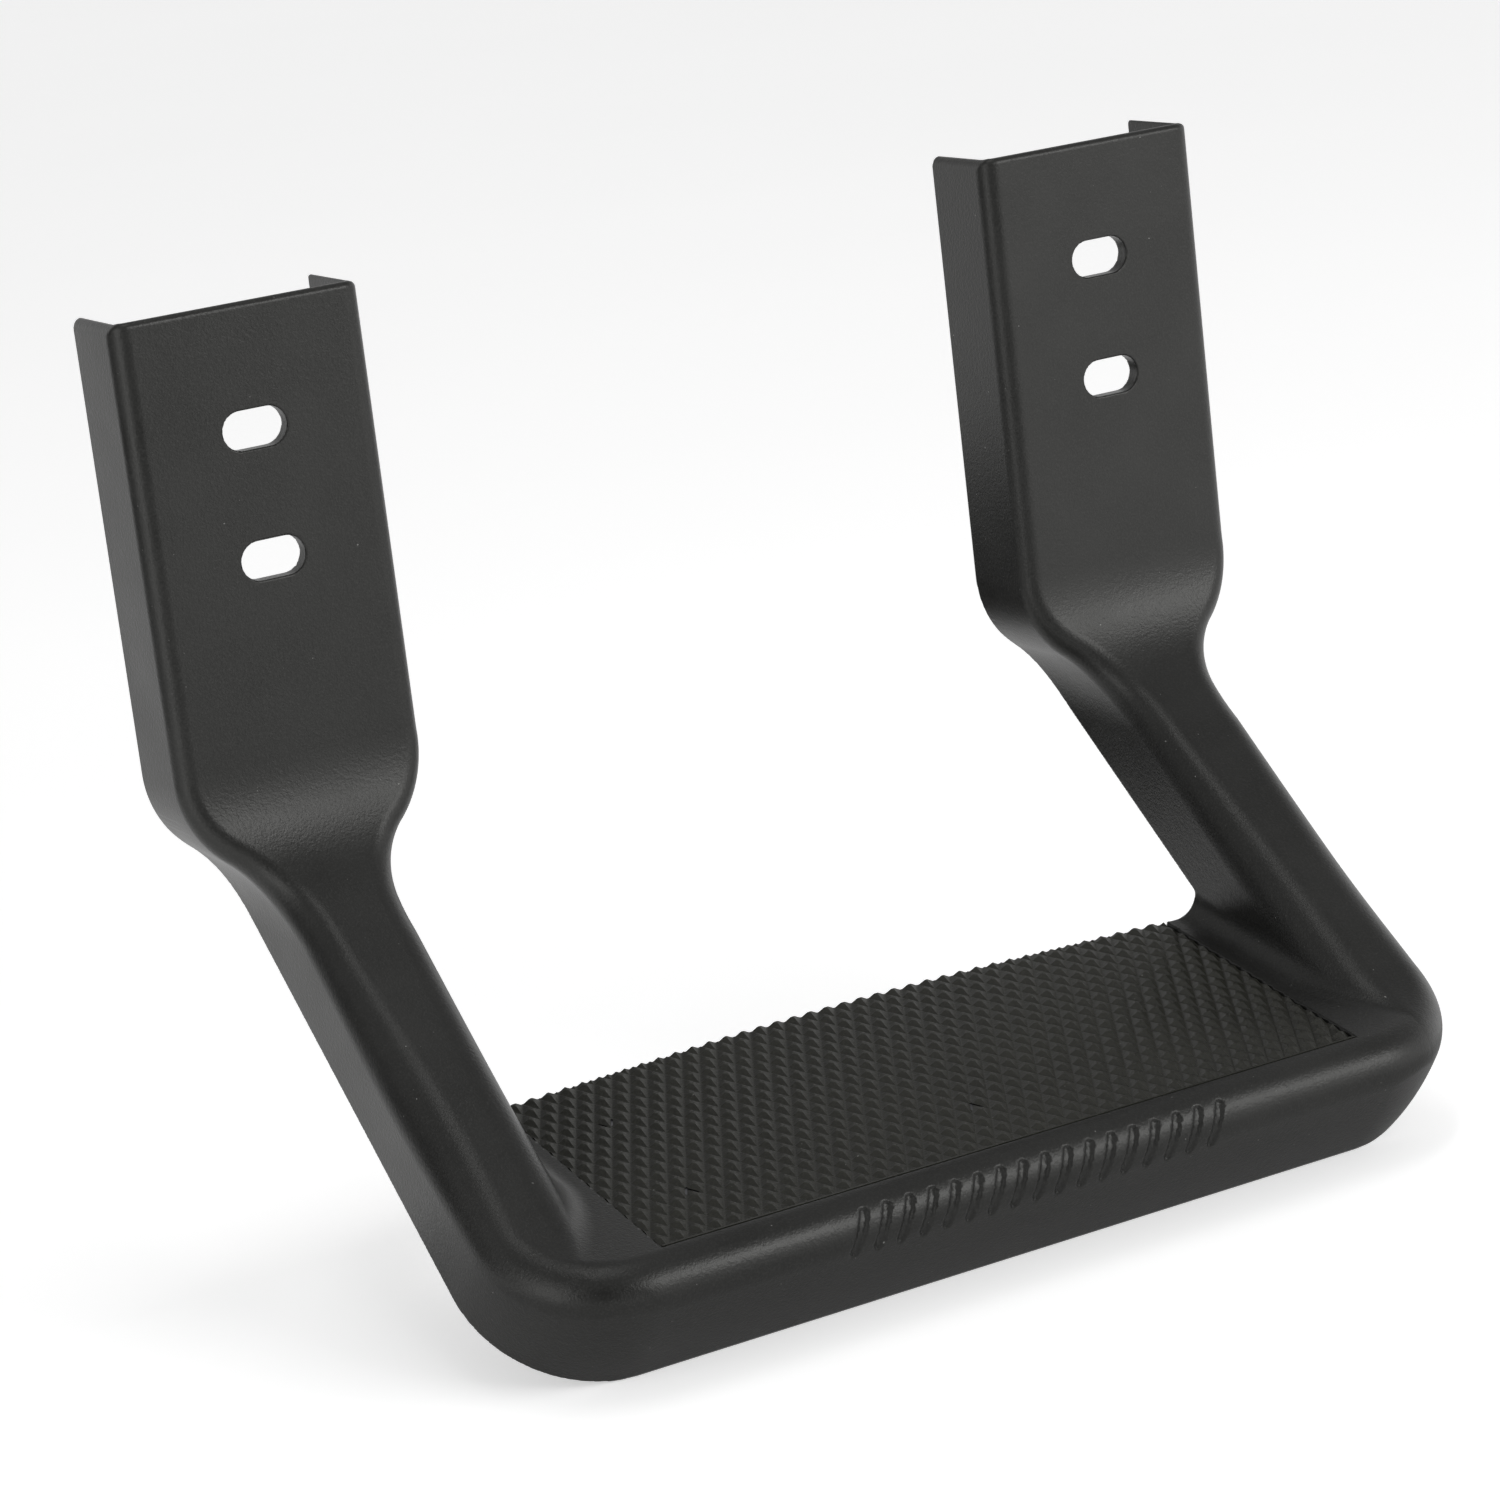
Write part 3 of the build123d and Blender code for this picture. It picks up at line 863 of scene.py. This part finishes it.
def make_floor(height):
    """A plain pale floor."""
    floor = flat_square("floor", FLOOR_HALF)
    floor.location = (0, 0, height)
    shader = Shader("floor_pale")
    tone = shader.mix(shader.noise(1.5, 2.0), *FLOOR_TONES)
    shader.put(shader.surface.inputs["Base Color"], tone)
    shader.surface.inputs["Roughness"].default_value = FLOOR_ROUGHNESS
    shader.surface.inputs["Emission Color"].default_value = (1, 1, 1, 1)
    shader.surface.inputs["Emission Strength"].default_value = FLOOR_GLOW
    paint(floor, shader.material)


def make_world():
    """Pale surroundings that darken overhead."""
    world = bpy.data.worlds.new("studio")
    world.use_nodes = True
    nodes, links = world.node_tree.nodes, world.node_tree.links
    background = nodes["Background"]
    place = nodes.new("ShaderNodeTexCoord")
    split = nodes.new("ShaderNodeSeparateXYZ")
    ramp = nodes.new("ShaderNodeValToRGB")
    links.new(place.outputs["Generated"], split.inputs["Vector"])
    links.new(split.outputs["Z"], ramp.inputs["Fac"])
    links.new(ramp.outputs["Color"], background.inputs["Color"])
    ramp.color_ramp.interpolation = "EASE"
    for element, (place_on_ramp, level) in zip(ramp.color_ramp.elements, SKY):
        element.position = place_on_ramp
        element.color = (level, level, level, 1)
    background.inputs["Strength"].default_value = 1.0
    bpy.context.scene.world = world


# --- Assembly ------------------------------------------------------------------------------

casting_coat = powder_coat("casting_coat", dark=(0.0095, 0.0095, 0.009, 1),
                           light=(0.0145, 0.0145, 0.0138, 1), roughness=0.36, grain=0.5)
tread_coat = powder_coat("tread_coat", dark=(0.011, 0.011, 0.0085, 1),
                         light=(0.017, 0.017, 0.0135, 1), roughness=0.43, grain=0.5)

step_casting = make_casting()
paint(step_casting, casting_coat)
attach(step_casting, "root")
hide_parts("step_frame")

tread = make_tread()
paint(tread, tread_coat)
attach(tread, "root")
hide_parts("tread_plate")

paint(frame["nodes"]["tread_screws"], steel("black_oxide_steel", (0.16, 0.16, 0.17), roughness=0.38))
paint(frame["nodes"]["tread_washers"], steel("zinc_steel", (0.56, 0.56, 0.55), roughness=0.3))

make_camera()
make_world()
make_floor(cad_box[0][2])
softbox("front", place=(1.1, -2.1, 0.95), target=(0, 0, -0.05), size=(1.6, 0.9), power=29)
softbox("overhead", place=(-0.15, -0.25, 1.9), target=(0, -0.1, -0.1), size=(0.22, 1.2), power=4.5)
softbox("left", place=(-1.0, -0.45, 0.1), target=(0, 0, 0), size=(0.1, 1.0), power=1.8)
# Dark cards seen only in gloss: painted dark reflections in the step's rounded edges and faces.
flag("flag_front", azimuth=22, distance=0.85, width=0.85)
flag("flag_left", azimuth=113, distance=0.85, width=0.6)
card("card_behind", place=(0.0, 0.2, -0.16), turn=(math.pi / 2, 0, 0.4), size=(0.26, 0.15), shade=0.02)
# A grey sheet on the floor under the step, seen only in gloss: painted shade that darkens the floor's
# reflection in the rail, in place of the step's own shadow.
card("painted_floor_shade_in_gloss", place=(0.0, -0.15, cad_box[0][2] + MM), turn=(0, 0, 0), size=(0.55, 0.34), shade=0.75)
bpy.context.scene.view_settings.view_transform = "Standard"
